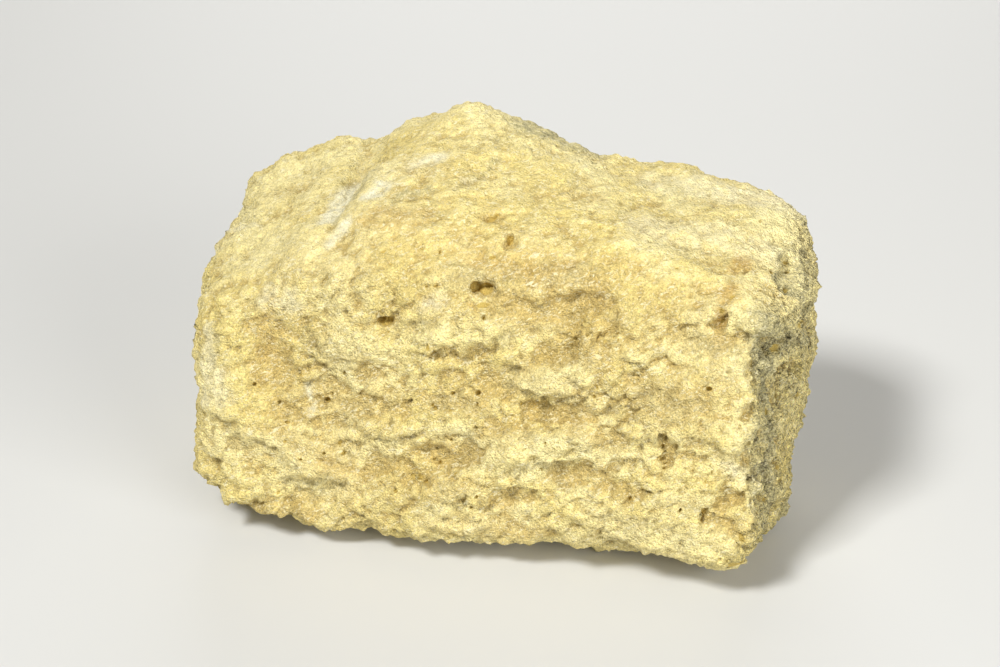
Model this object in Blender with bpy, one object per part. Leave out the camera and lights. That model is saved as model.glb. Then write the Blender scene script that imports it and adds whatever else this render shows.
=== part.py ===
"""A hand specimen of native sulfur: one broken block of massive, porous ore.

The block is a lattice box whose points are moved onto its broken faces.  Each broken face is a plane,
the edges between them are worn round, and strokes of rock are raised or sunk square to the surface:
lumps, ledges, hollows, grooves and the larger pores.  X runs along the block, -Y is its front, +Z is
up, and it rests on a flat patch at Z = 0.
"""

import math
from collections import namedtuple

import bmesh
import bpy
import numpy as np
from mathutils import Vector, noise

MM = 0.001

# Driving dimensions: the block before it was broken and worn.
LENGTH = 72 * MM
DEPTH = 42 * MM
HEIGHT = 44 * MM
CORE = Vector((0.0, -1 * MM, 19 * MM))  # every surface point is seen from here
LATTICE_STEP = 1.95 * MM
EDGE_WEAR = 0.8 * MM
EDGE_SOFTENING = 0.35  # how far each point moves to the middle of its neighbours
FLAT_ANGLE = math.radians(0.1)
REST_SNAP = 0.15 * MM  # surface this close to the rest plane lies on it
REST_EASE = 2.5 * MM  # lumps fade out over this height above the rest plane
PORE_RIM = 1.8 * MM  # the lattice is finer this near to a pore
PORE_CUTS = 2
SEARCH_STEPS = 40  # halvings that find where a ray leaves the block
LEAST_DISTANCE = 1e-6 * MM
NOISE_FALL, NOISE_STEP, NOISE_LAYERS = 0.9, 2.1, 3  # each finer layer of broken rock against the last

ORE_COLOUR = (0.78, 0.62, 0.25, 1)
ORE_ROUGHNESS = 0.85

# A broken face: a point on it in mm, the way it faces round the block (0 front, 90 right, 180 back),
# and how far it leans up from facing level.
Face = namedtuple("Face", "x y z turn lean")
BROKEN_FACES = {
    "front": Face(0, -20.0, 5, 0, 11),
    "front_brow": Face(0, -15.5, 31, 0, 42),
    "top": Face(-4, 14.0, 42.6, 0, 77),
    "top_right": Face(-2, 14.5, 41.4, 90, 78),
    "top_left": Face(-11, 14.0, 41.3, 275, 65),
    "left_shoulder": Face(-28.6, 10.0, 34.8, 290, 52),
    "left_cheek": Face(-38.6, 0.0, 30.0, 285, 22),
    "left": Face(-36.0, -6.0, 18, 275, 1),
    "left_front": Face(-34.8, -14.0, 20, 315, 8),
    "right": Face(32.8, 0.0, 18, 90, 0),
    "right_front": Face(30.7, -17.3, 16, 62, 2),
    "right_brow": Face(30.6, 11.0, 33, 90, 40),
    "back": Face(0, 17.0, 20, 180, 4),
    "back_right": Face(31.8, 13.2, 18, 148, 3),
    "back_brow": Face(-2, 16.0, 39.8, 168, 48),
    "right_foot": Face(32.6, 4.0, 5, 110, -40),
    "front_foot": Face(0, -20.0, 3.4, 6, -63),
    "front_left_foot": Face(-18, -20.0, 3.0, 344, -63),
    "left_foot": Face(-35, -8.0, 5.0, 280, -30),
    "back_foot": Face(0, 17.0, 5, 180, -40),
    "base": Face(0, 0, 0, 0, -90),
}

# A stroke of relief, in mm: it runs from start to end, fades over `above` on its upper side and
# `below` on its lower side, and rises (or, when negative, sinks) square to the surface.
Stroke = namedtuple("Stroke", "start end above below rise")
LUMPS = {
    "left_top_lump": Stroke((-27, 14, 34), (-27, 2, 33), 4.0, 4.0, 0.4),
    "peak": Stroke((-9, 13, 41), (-3, 13, 41), 4.0, 4.0, 0.3),
    "peak_left": Stroke((-15, 12.5, 39.3), (-11.5, 12.5, 40.6), 3.2, 3.2, 1.2),
    "left_shoulder": Stroke((-35.5, -3, 25.5), (-33.5, -3, 31.5), 3.0, 3.0, 1.9),
    "right_shoulder": Stroke((28.5, 12, 34), (29.5, 9, 34), 2.5, 2.5, 0.8),
    "left_foot": Stroke((-27, -20, 3.6), (-18.5, -20, 2.8), 2.6, 2.4, 1.6),
    "left_strip": Stroke((-34, -10, 27), (-30, -18, 14), 2.6, 2.6, 0.9),
    "left_corner": Stroke((-30, -19, 9), (-25, -20, 6), 3.0, 2.2, 0.8),
    "brow_left": Stroke((-14, -15, 30), (-5, -14, 31), 4.5, 4.5, 0.7),
    "brow_mid": Stroke((-7, -15.5, 27), (0, -15.5, 27.5), 3.0, 1.4, 1.0),
    "lens": Stroke((7, -16.4, 23.8), (11.5, -16.0, 25), 2.6, 2.0, 1.6),
    "big_scale": Stroke((2, -18, 15.5), (12, -17.5, 17.5), 3.2, 2.4, 1.2),
    "low_scale": Stroke((-12, -19.5, 6.5), (-2, -19, 10.5), 2.6, 1.8, 1.0),
    "mid_scale": Stroke((-9, -18, 14.5), (-3, -17.8, 17), 2.4, 1.6, 0.9),
    "left_scale": Stroke((-25, -18.6, 12), (-15, -18.6, 10), 2.4, 2.0, 0.9),
    "right_scale": Stroke((16, -18.5, 12), (24, -18, 15), 3.0, 2.0, 0.8),
    "right_shelf": Stroke((19, -17, 19.5), (27, -17, 20), 2.6, 1.6, 0.9),
    "right_low": Stroke((21, -19.4, 7.5), (27, -19.4, 6.5), 3.0, 2.4, 0.6),
    "corner_lump": Stroke((31, -18.5, 13), (31, -19, 7), 2.2, 2.2, 1.2),
    "right_bulge": Stroke((32, -6, 30), (31, 6, 30), 5.0, 3.4, 1.3),
    "right_rear": Stroke((33, 9, 24), (33, 9, 14), 4.0, 4.0, 0.6),
    "back_lump": Stroke((-22, 17, 24), (-8, 17.5, 28), 6.0, 5.0, 1.6),
    "back_low_lump": Stroke((6, 17, 12), (20, 16.5, 15), 5.0, 4.0, 1.5),
    "back_shelf": Stroke((2, 16, 31), (18, 15, 29), 4.0, 2.0, 1.3),
    "left_end_lump": Stroke((-36, 4, 22), (-36, 8, 12), 4.5, 4.0, 1.1),
}
HOLLOWS = {
    "peak_fall": Stroke((-1, 13.5, 41), (5, 13.5, 39.5), 3.0, 3.0, -1.4),
    "crease": Stroke((-22, 15, 37), (-18, -11, 35), 2.4, 2.4, -1.3),
    "top_left_step": Stroke((-28, 14, 33), (-27.5, 5, 33), 1.5, 1.5, -0.7),
    "top_right_sag": Stroke((9, 16, 39.5), (14, 4, 38), 5.5, 5.5, -1.9),
    "left_hollow": Stroke((-25, -16, 26), (-18, -17, 19), 3.6, 3.6, -1.6),
    "under_strip": Stroke((-17, -17.3, 19), (-9, -16.7, 21.5), 2.0, 1.8, -1.0),
    "mid_groove": Stroke((2, -16.5, 23.5), (9, -15.2, 29), 1.8, 1.8, -1.0),
    "lens_shadow": Stroke((2, -17, 21.5), (15, -16.6, 21.8), 1.8, 1.8, -1.3),
    "brow_dip": Stroke((4, -14, 32), (14, -14, 31.5), 2.6, 2.6, -0.8),
    "right_dip": Stroke((16, -16.4, 23.5), (25, -16.8, 21.6), 2.4, 2.0, -1.1),
    "right_brow_dip": Stroke((22, -15, 29), (27, -14.5, 31), 2.2, 2.0, -0.8),
    "scale_shadow": Stroke((-3, -18.4, 13), (3, -17.4, 18.5), 1.6, 1.6, -1.0),
    "scale_under": Stroke((6, -18.5, 12.6), (15, -18, 14.4), 1.6, 1.4, -1.0),
    "left_under": Stroke((-27, -18.8, 9), (-21, -19, 8.5), 1.5, 1.5, -0.8),
    "mid_under": Stroke((-14, -18.5, 11.5), (-5, -18.5, 12.5), 1.6, 1.4, -0.9),
    "corner_groove": Stroke((30.6, -17.6, 17), (27.5, -18.6, 11), 1.5, 1.5, -1.4),
    "corner_bite": Stroke((31.5, -20, 3.6), (33, -17, 3.6), 2.0, 2.0, -1.4),
    "right_foot_bite": Stroke((31.8, -13, 4), (32.6, -7, 3.4), 2.6, 2.6, -1.3),
    "left_front_wear": Stroke((-34.5, -15, 14), (-34, -16, 9), 2.8, 2.4, -0.7),
    "front_edge_bite": Stroke((8.5, -20, 3.6), (16, -20, 4.2), 2.2, 2.2, -1.5),
    "left_end_bite": Stroke((-36, -9, 24.5), (-35, -15, 14), 2.0, 2.0, -0.9),
    "right_valley": Stroke((32.2, -12.6, 28), (33.0, -12.6, 5), 2.8, 2.8, -1.4),
    "bulge_shadow": Stroke((33.5, -10, 23), (33.5, 1, 24.5), 2.6, 2.6, -1.8),
    "right_pit": Stroke((33, -1, 12), (33, 4, 10), 3.0, 3.0, -1.0),
    "back_hollow": Stroke((-4, 17, 20), (8, 17, 22), 4.0, 4.0, -1.5),
    "back_groove": Stroke((-26, 17, 14), (-4, 17, 9), 2.4, 2.4, -1.3),
    "left_end_groove": Stroke((-35, 4, 27), (-36, 11, 15), 2.2, 2.2, -1.1),
}

# The larger gas pores and slits, sunk into the finished faces.
PORES = {
    "big_pore": Stroke((-1.5, -14, 33), (0.4, -14.1, 33.1), 0.7, 0.7, -1.7),
    "left_pore": Stroke((-11.6, -15.6, 28.3), (-10.2, -15.7, 28.5), 0.6, 0.6, -1.4),
    "brow_pore": Stroke((1.3, -8.9, 37), (1.6, -10, 36.6), 0.6, 0.6, -1.1),
    "right_slit": Stroke((25.6, -13, 32.5), (25.6, -13.5, 31), 0.6, 0.6, -1.2),
    "ladder_slit": Stroke((20.7, -17.6, 20), (20.7, -18.2, 16.2), 0.6, 0.6, -1.1),
    "low_slit": Stroke((25.5, -18.5, 11.6), (25.6, -18.8, 10.2), 0.6, 0.6, -1.2),
    "side_pore": Stroke((31.3, -6.7, 20.8), (31.7, -7.3, 19.6), 0.7, 0.7, -1.3),
    "side_crevice": Stroke((30.4, 0, 33.2), (31.2, -5.5, 32.5), 0.7, 0.7, -1.3),
    "back_pore": Stroke((-12, 18, 26), (-10.5, 18, 26.4), 0.8, 0.8, -1.5),
    "back_low_pore": Stroke((14, 18, 20), (14.5, 18, 18.6), 0.7, 0.7, -1.3),
    "left_end_pore": Stroke((-36, -1, 15), (-36, 0.5, 14.6), 0.7, 0.7, -1.3),
}

# Broken rock between the strokes: uneven swells, and shorter ledges that are wider than they are tall.
Roughness = namedtuple("Roughness", "wide deep tall rise seed")
SWELLS = Roughness(15, 15, 12, 0.8, Vector((3.1, 7.7, 1.9)))
LEDGES = Roughness(7.0, 5.0, 3.6, 0.9, Vector((11.3, 2.4, 5.6)))


def outward(face):
    """The unit vector that a broken face points along."""
    turn, lean = math.radians(face.turn), math.radians(face.lean)
    level = math.cos(lean)
    return np.array((math.sin(turn) * level, -math.cos(turn) * level, math.sin(lean)))


FACE_NORMALS = np.array([outward(face) for face in BROKEN_FACES.values()])
FACE_PLACES = np.array([(face.x, face.y, face.z) for face in BROKEN_FACES.values()]) * MM


def face_shares(points):
    """How far outside each broken face the points are, and how much each face shapes them."""
    heights = points @ FACE_NORMALS.T - (FACE_NORMALS * FACE_PLACES).sum(axis=1)
    shares = np.exp((heights - heights.max(axis=1, keepdims=True)) / EDGE_WEAR)
    return heights, shares


def block_depth(points):
    """How far outside the worn block each point is, in metres, negative inside."""
    heights, shares = face_shares(points)
    return heights.max(axis=1) + EDGE_WEAR * np.log(shares.sum(axis=1))


def block_normals(points):
    """The way the worn block faces at each point."""
    _, shares = face_shares(points)
    normals = shares @ FACE_NORMALS
    return normals / np.linalg.norm(normals, axis=1)[:, None]


def onto_block(directions):
    """The point where each ray from the core leaves the worn block."""
    core = np.array(CORE)
    near = np.zeros(len(directions))
    far = np.full(len(directions), LENGTH)
    for _ in range(SEARCH_STEPS):
        middle = (near + far) / 2
        inside = block_depth(core + directions * middle[:, None]) < 0
        near = np.where(inside, middle, near)
        far = np.where(inside, far, middle)
    return core + directions * near[:, None]


def stroke_offsets(points, stroke):
    """The way from a stroke's nearest place to each point, and its length."""
    start, end = np.array(stroke.start) * MM, np.array(stroke.end) * MM
    run = end - start
    along = np.clip((points - start) @ run / (run @ run), 0, 1)
    offsets = points - (start + along[:, None] * run)
    return offsets, np.linalg.norm(offsets, axis=1) + LEAST_DISTANCE


def stroke_relief(points, stroke):
    """How far a stroke raises each point, in metres."""
    offsets, distances = stroke_offsets(points, stroke)
    upper = (1 + offsets[:, 2] / distances) / 2
    fade = (stroke.below + (stroke.above - stroke.below) * upper) * MM
    return stroke.rise * MM * np.exp(-(distances / fade) ** 2)


def rough_relief(points, rough):
    """How far broken rock stands proud of each point, in metres."""
    sizes = np.array((rough.wide, rough.deep, rough.tall)) * MM
    heights = [noise.fractal(Vector(p) + rough.seed, NOISE_FALL, NOISE_STEP, NOISE_LAYERS)
               for p in points / sizes]
    return np.array(heights) * rough.rise * MM


def relief(points):
    """All the relief at each point of the worn block; nothing rises out of the rest plane."""
    total = rough_relief(points, SWELLS) + rough_relief(points, LEDGES)
    for stroke in (*LUMPS.values(), *HOLLOWS.values()):
        total += stroke_relief(points, stroke)
    return np.where(total > 0, total * np.clip(points[:, 2] / REST_EASE, 0, 1), total)


def lattice_box():
    """A box of near-square cells, as long, deep and high as the block."""
    mesh = bmesh.new()
    bmesh.ops.create_cube(mesh, size=1.0)
    for axis, side in enumerate((LENGTH, DEPTH, HEIGHT)):
        along = [e for e in mesh.edges if abs((e.verts[0].co - e.verts[1].co)[axis]) > 0.5]
        cuts = round(side / LATTICE_STEP) - 1
        bmesh.ops.subdivide_edges(mesh, edges=along, cuts=cuts, use_grid_fill=True)
    bmesh.ops.scale(mesh, vec=(LENGTH, DEPTH, HEIGHT), verts=mesh.verts)
    return mesh


def shape_block(mesh):
    """Moves the lattice onto the worn block and raises its relief."""
    offsets = np.array([v.co for v in mesh.verts])
    directions = offsets / np.linalg.norm(offsets, axis=1)[:, None]
    places = onto_block(directions)
    places += block_normals(places) * relief(places)[:, None]
    places[:, 2] = np.where(places[:, 2] < REST_SNAP, 0.0, places[:, 2])
    for vertex, place in zip(mesh.verts, places):
        vertex.co = place
    bmesh.ops.smooth_vert(mesh, verts=[v for v in mesh.verts if v.co.z > 0], factor=EDGE_SOFTENING,
                          use_axis_x=True, use_axis_y=True, use_axis_z=True)


def open_pores(mesh):
    """Makes the lattice finer round each pore and sinks the pore square to the surface."""
    for pore in PORES.values():
        middles = np.array([(e.verts[0].co + e.verts[1].co) / 2 for e in mesh.edges])
        near = stroke_offsets(middles, pore)[1] < PORE_RIM
        rim = [edge for edge, close in zip(mesh.edges, near) if close]
        bmesh.ops.subdivide_edges(mesh, edges=rim, cuts=PORE_CUTS, use_grid_fill=True)
        mesh.normal_update()
        depths = stroke_relief(np.array([v.co for v in mesh.verts]), pore)
        for vertex, depth in zip(mesh.verts, depths):
            vertex.co += vertex.normal * depth


def centre_on_rest_plane(mesh):
    """Brings the middle of the block's length and depth over the origin."""
    places = np.array([v.co for v in mesh.verts])
    middle = (places.min(axis=0) + places.max(axis=0)) / 2
    bmesh.ops.translate(mesh, vec=(-middle[0], -middle[1], 0), verts=mesh.verts)


def lies_at_rest(cells):
    """Whether all these faces of the lattice lie in the rest plane."""
    return all(v.co.z == 0.0 for cell in cells for v in cell.verts)


def join_rest_faces(mesh):
    """Joins the lattice cells that lie in the rest plane into large flat faces."""
    edges = [e for e in mesh.edges if lies_at_rest(e.link_faces)]
    verts = [v for v in mesh.verts if lies_at_rest(v.link_faces)]
    bmesh.ops.dissolve_limit(mesh, angle_limit=FLAT_ANGLE, verts=verts, edges=edges)


def sulfur_ore():
    """Pale yellow, dull, grainy sulfur ore."""
    ore = bpy.data.materials.new("sulfur_ore")
    ore.use_nodes = True
    shader = ore.node_tree.nodes["Principled BSDF"]
    shader.inputs["Base Color"].default_value = ORE_COLOUR
    shader.inputs["Roughness"].default_value = ORE_ROUGHNESS
    shader.inputs["Metallic"].default_value = 0.0
    return ore


def sulfur_block():
    """The whole specimen, one solid."""
    mesh = lattice_box()
    shape_block(mesh)
    open_pores(mesh)
    centre_on_rest_plane(mesh)
    join_rest_faces(mesh)
    bmesh.ops.triangulate(mesh, faces=mesh.faces, quad_method="BEAUTY", ngon_method="BEAUTY")
    data = bpy.data.meshes.new("sulfur_block")
    mesh.to_mesh(data)
    mesh.free()
    data.shade_smooth()
    data.materials.append(sulfur_ore())
    block = bpy.data.objects.new("sulfur_block", data)
    bpy.context.scene.collection.objects.link(block)
    return block


def main():
    for obj in list(bpy.data.objects):
        bpy.data.objects.remove(obj)
    sulfur_block()


main()
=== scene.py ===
"""Native sulfur specimen: the surface and finish of one broken block of porous sulfur ore.

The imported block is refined, then broken into ledges, crumbs and pores, and given a grainy, patchy
sulfur finish.  Everything is in metres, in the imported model's own frame: X runs along the block, -Y is
its front and it stands on Z = 0.
"""

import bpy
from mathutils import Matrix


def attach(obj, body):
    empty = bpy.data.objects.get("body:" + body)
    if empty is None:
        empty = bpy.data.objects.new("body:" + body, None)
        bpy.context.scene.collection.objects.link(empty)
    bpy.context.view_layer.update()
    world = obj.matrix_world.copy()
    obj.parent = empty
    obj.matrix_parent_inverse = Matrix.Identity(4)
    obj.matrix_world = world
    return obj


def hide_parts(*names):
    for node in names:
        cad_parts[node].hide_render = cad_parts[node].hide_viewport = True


bl_info = {
    "name": "Native Sulfur Specimen",
    "version": (1, 0, 0),
    "blender": (4, 5, 0),
    "location": "View3D > Sidebar > Sulfur",
    "description": "Builds a broken block of porous native sulfur on a plain stage",
    "category": "Object",
}

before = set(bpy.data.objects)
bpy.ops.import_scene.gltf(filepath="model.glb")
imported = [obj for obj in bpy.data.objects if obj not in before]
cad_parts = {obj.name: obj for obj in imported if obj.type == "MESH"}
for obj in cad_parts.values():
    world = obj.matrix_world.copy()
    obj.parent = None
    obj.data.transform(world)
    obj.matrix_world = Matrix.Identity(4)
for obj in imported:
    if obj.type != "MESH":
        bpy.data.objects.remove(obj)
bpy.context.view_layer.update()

import math
import random
from collections import namedtuple

import bmesh
import bpy
import numpy as np
from bpy.props import FloatProperty, FloatVectorProperty, IntProperty, PointerProperty
from mathutils import Vector, noise
from mathutils.bvhtree import BVHTree

MM = 0.001
BLOCK_NODE = "sulfur_block"


# ---------------------------------------------------------------- settings

def length_property(name, description, default_mm):
    """A size that is given and shown as a length."""
    return FloatProperty(name=name, description=description, default=default_mm * MM,
                         min=0.0, unit="LENGTH", precision=5)


def colour_property(name, description, default):
    """A colour, in linear light."""
    return FloatVectorProperty(name=name, description=description, default=default,
                               subtype="COLOR", size=3, min=0.0, max=1.0)


class SulfurBlockSettings(bpy.types.PropertyGroup):
    """Sizes and colours of the block of ore."""
    cell: length_property("Cell", "Side of the refined surface's cells", 0.42)
    ledge_rise: length_property("Ledge rise", "How far the broken ledges stand out", 0.66)
    crumb_rise: length_property("Crumb rise", "How far the crumbs between them stand out", 0.48)
    grain_size: length_property("Grain", "Size of the sulfur grains in the finish", 0.22)
    hidden_ledges: IntProperty(name="Hidden ledges", default=70, min=0,
                               description="Ledges on the back, left and underside")
    hidden_pores: IntProperty(name="Hidden pores", default=110, min=0,
                              description="Pores on the back, left and underside")
    end_pores: IntProperty(name="End pores", default=70, min=0,
                           description="Small pits on the right end")
    seed: IntProperty(name="Seed", description="Sets where the ledges and crumbs fall", default=7)
    cream: colour_property("Cream", "Freshly broken, finely granular sulfur", (0.86, 0.735, 0.335))
    straw: colour_property("Straw", "The block's general yellow", (0.78, 0.635, 0.23))
    # Tan is a real pinkish tone and also painted shade: the same colour is laid into the hollows, the bays
    # and shaded places.
    tan: colour_property("Tan", "Weathered, pinkish patches", (0.585, 0.43, 0.14))
    # Sparkle is a painted glint: single grains given a light colour for the light they catch. The wisps
    # take the same colour.
    sparkle: colour_property("Sparkle", "Fresh grains that catch the light", (0.93, 0.85, 0.53))
    # This colour is painted highlight: the lit crests of the broad scales, the lit bulges and upward
    # slopes.
    painted_highlight: colour_property("Pale", "The crests of the broad scales", (0.91, 0.795, 0.385))
    chalk: colour_property("Chalk", "White mineral crusts", (0.88, 0.82, 0.56))
    # Ash is real greyish-green seams and also painted shade: the shaded strip of the right end, the shade
    # under its brow and the slope beyond the peak.
    ash: colour_property("Ash", "Greyish-green seams", (0.455, 0.405, 0.205))
    rust: colour_property("Rust", "Pinkish-brown stains", (0.56, 0.375, 0.11))
    # The pore colour is painted shade: the dim brown that the light takes inside the pores and tiny pits.
    pore: colour_property("Pore", "The inside of the pores", (0.62, 0.455, 0.12))


class SulfurStageSettings(bpy.types.PropertyGroup):
    """Camera, lights and floor."""
    azimuth: FloatProperty(name="Azimuth", description="Camera's turn round the block",
                           default=math.radians(14), subtype="ANGLE")
    elevation: FloatProperty(name="Elevation", description="Camera's height above level",
                             default=math.radians(30), subtype="ANGLE")
    lens: FloatProperty(name="Lens", description="Camera's focal length in millimetres", default=85.0)
    view_width: length_property("View width", "Width that the camera sees at the block", 115)
    key_power: FloatProperty(name="Key", description="Power of the main soft light", default=8.6,
                             unit="POWER")
    fill_power: FloatProperty(name="Fill", description="Power of the soft light on the right",
                              default=1.65, unit="POWER")
    back_power: FloatProperty(name="Back", description="Power of the low soft light behind the block",
                              default=2.2, unit="POWER")
    floor: colour_property("Floor", "Plain pale floor", (0.62, 0.62, 0.60))


# ---------------------------------------------------------------- the refined block

JOINED_WITHIN = 0.001 * MM     # corners this close are one
EASED_SHARE, EASED_ROUNDS = 0.5, 4     # how far the cells' steps are smoothed


def loose_copy(node):
    """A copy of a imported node's mesh with its loose triangles joined."""
    mesh = bmesh.new()
    mesh.from_mesh(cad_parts[node].data)
    bmesh.ops.remove_doubles(mesh, verts=mesh.verts, dist=JOINED_WITHIN)
    data = bpy.data.meshes.new(node + "_joined")
    mesh.to_mesh(data)
    mesh.free()
    data.shade_smooth()
    return data


def new_object(name, data):
    """An object in the scene for this data."""
    obj = bpy.data.objects.new(name, data)
    bpy.context.scene.collection.objects.link(obj)
    return obj


def settle_modifiers(obj):
    """Replaces the object's mesh by what its modifiers make of it, and removes them."""
    bpy.context.view_layer.update()
    evaluated = obj.evaluated_get(bpy.context.evaluated_depsgraph_get())
    made = bpy.data.meshes.new_from_object(evaluated)
    obj.modifiers.clear()
    obj.data = made


def refined_block(cell):
    """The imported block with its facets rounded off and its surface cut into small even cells."""
    block = new_object("sulfur_rock", loose_copy(BLOCK_NODE))
    rounded = block.modifiers.new("rounded facets", "SUBSURF")
    rounded.levels = rounded.render_levels = 1
    cells = block.modifiers.new("even cells", "REMESH")
    cells.mode = "VOXEL"
    cells.voxel_size = cell
    eased = block.modifiers.new("eased steps", "SMOOTH")
    eased.factor = EASED_SHARE
    eased.iterations = EASED_ROUNDS
    settle_modifiers(block)
    return block


def points_of(mesh):
    """Where the mesh's points lie."""
    places = np.zeros(len(mesh.vertices) * 3, np.float32)
    mesh.vertices.foreach_get("co", places)
    return places.reshape(-1, 3).astype(float)


def normals_of(mesh):
    """Which way the mesh faces at each point."""
    normals = np.zeros(len(mesh.vertices) * 3, np.float32)
    mesh.vertex_normals.foreach_get("vector", normals)
    return normals.reshape(-1, 3).astype(float)


def set_points(mesh, places):
    """Moves the mesh's points, keeping them on or above the rest plane."""
    places[:, 2] = np.maximum(places[:, 2], 0.0)
    mesh.vertices.foreach_set("co", places.astype(np.float32).ravel())
    mesh.update()


# ---------------------------------------------------------------- node helpers

HALF = (0.5, 0.5, 0.5)         # the middle of a noise's colour


class NodeKit:
    """Adds nodes to a tree and links them in one call."""

    def __init__(self, tree):
        self.tree = tree

    def add(self, kind, settings=None, **inputs):
        """A node of this kind; inputs are values or sockets, by the socket's name or number."""
        node = self.tree.nodes.new(kind)
        for key, value in (settings or {}).items():
            setattr(node, key, value)
        for key, value in inputs.items():
            self.feed(node, key.replace("_", " "), value)
        return node

    def feed(self, node, key, value):
        """Links the value to this input, or sets the input to it."""
        socket = node.inputs[key]
        if isinstance(value, bpy.types.NodeSocket):
            self.tree.links.new(value, socket)
        else:
            socket.default_value = value

    def math(self, operation, *values, clamp=False):
        node = self.tree.nodes.new("ShaderNodeMath")
        node.operation = operation
        node.use_clamp = clamp
        for number, value in enumerate(values):
            self.feed(node, number, value)
        return node.outputs[0]

    def plus(self, *values):
        return self.math("ADD", *values)

    def times(self, *values, clamp=False):
        return self.math("MULTIPLY", *values, clamp=clamp)

    def vector(self, operation, *values, out=0):
        node = self.tree.nodes.new("ShaderNodeVectorMath")
        node.operation = operation
        for number, value in enumerate(values):
            self.feed(node, number, value)
        return node.outputs[out]

    def scaled(self, vector, factor):
        node = self.tree.nodes.new("ShaderNodeVectorMath")
        node.operation = "SCALE"
        self.feed(node, 0, vector)
        self.feed(node, "Scale", factor)
        return node.outputs[0]

    def span(self, value, low, high, to_low=0.0, to_high=1.0):
        """The value carried from low..high to to_low..to_high, held at the ends."""
        node = self.tree.nodes.new("ShaderNodeMapRange")
        node.interpolation_type = "SMOOTHSTEP"
        for number, item in enumerate((value, low, high, to_low, to_high)):
            self.feed(node, number, item)
        return node.outputs[0]

    def noise(self, place, size, detail, rough=0.5, out=0, distortion=0.0):
        """Soft noise of this size."""
        node = self.add("ShaderNodeTexNoise", Vector=place, Scale=1 / size, Detail=detail,
                        Roughness=rough, Distortion=distortion)
        return node.outputs[out]

    def swayed(self, place, source, size, reach, detail):
        """The place moved about by soft noise that is read at the source."""
        sway = self.vector("SUBTRACT", self.noise(source, size, detail, out="Color"), HALF)
        return self.vector("ADD", place, self.scaled(sway, reach))

    def slanted(self, place, angle):
        """The place turned about the block's depth."""
        return self.add("ShaderNodeVectorRotate", {"rotation_type": "Y_AXIS"}, Vector=place,
                        Angle=angle).outputs[0]


# ---------------------------------------------------------------- broken relief (geometry nodes)

LEDGE_SLANT = math.radians(30)     # how steeply the broken ledges climb to the right

# A layer of broken scales: their size, how far they are stretched along, into and up the block,
# the way they all lean, and how far they stand out by chance.
Layer = namedtuple("Layer", "size stretch lean lift")

LEDGES_LAYER = Layer(3.2 * MM, (1.3, 1.1, 0.9), (0.0, 0.0, -0.30), 0.6)
CRUMBS_LAYER = Layer(1.5 * MM, (1.2, 1.0, 0.9), (0.0, 0.0, -0.3), 0.8)
SPECKS_LAYER = Layer(0.85 * MM, (1.0, 1.0, 1.0), (0.0, 0.0, 0.0), 0.8)
LEDGES_SHARE, SPECKS_SHARE = 0.35, 0.7
SOFT_JOINS = 0.35              # how softly one scale runs into the next
SLANT_BY_CHANCE = 1.4
RISE_BY_CHANCE = (0.9, 0.5, 0.4)
DOME_WIDTH, DOME_RISE = 0.45, 0.9

RIDGE_SIZE, RIDGE_STRETCH = 3.6 * MM, (1.8, 1.1, 0.8)
RIDGE_BREAK = 0.8              # how far the ridges fall over
RIDGE_ROUGH, RIDGE_RISE = 0.6, 3.0
SWELL_SIZE, SWELL_SQUEEZE = 6.5 * MM, (0.6, 0.9, 1.2)
SWELL_ROUGH, SWELL_RISE = 0.6, 3.6

SEED_STEP = (0.013, 0.029, 0.041)      # how far each seed moves the relief, in metres
SWAY_SIZE = SWAY_REACH = 3.4 * MM      # over what length the layers sway, and how far
PATCHY_SIZE = 8 * MM                   # over what length the relief grows strong and weak

# Where a value begins and ends, and what it is carried to at each.
PATCHY_STRENGTH = (0.35, 0.65, 0.5, 1.25)
CALM_HEIGHTS = (28 * MM, 37 * MM, 1.0, 0.55)
CALM_CRUMBS = (0.7, 1.0, 0.78, 1.0)
COARSE_CRUMBS = (1.1, 2.1, 1.0, 1.15)


def scale_layer(kit, place, layer):
    """Height, about -1 to 1, of rock broken into rounded scales that each lie at their own slant."""
    shrunk = kit.vector("DIVIDE", place, tuple(layer.size * part for part in layer.stretch))
    cells = kit.add("ShaderNodeTexVoronoi", {"feature": "SMOOTH_F1"}, Vector=shrunk, Scale=1.0,
                    Smoothness=SOFT_JOINS, Randomness=1.0)
    chance = kit.vector("SUBTRACT", cells.outputs["Color"], HALF)
    slant = kit.vector("ADD", kit.scaled(chance, SLANT_BY_CHANCE), layer.lean)
    offset = kit.vector("SUBTRACT", shrunk, cells.outputs["Position"])
    tilted = kit.vector("DOT_PRODUCT", offset, slant, out="Value")
    raised = kit.vector("DOT_PRODUCT", chance, RISE_BY_CHANCE, out="Value")
    domed = kit.math("SUBTRACT", DOME_WIDTH, cells.outputs["Distance"])
    flat = kit.plus(kit.times(raised, layer.lift), tilted)
    return kit.plus(flat, kit.times(domed, DOME_RISE))


def ridge_layer(kit, place):
    """Height, about -1 to 1, of uneven ridges that slope gently above and steeply below."""
    shrunk = kit.vector("DIVIDE", place, tuple(RIDGE_SIZE * part for part in RIDGE_STRETCH))
    swell = kit.noise(shrunk, 1.0, 0.0)
    drop = kit.times(kit.math("SUBTRACT", swell, 0.5), RIDGE_BREAK)
    fallen = kit.vector("ADD", shrunk, kit.add("ShaderNodeCombineXYZ", Z=drop).outputs[0])
    rough = kit.noise(fallen, 1.0, 3.0, RIDGE_ROUGH)
    return kit.times(kit.math("SUBTRACT", rough, 0.5), RIDGE_RISE)


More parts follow.
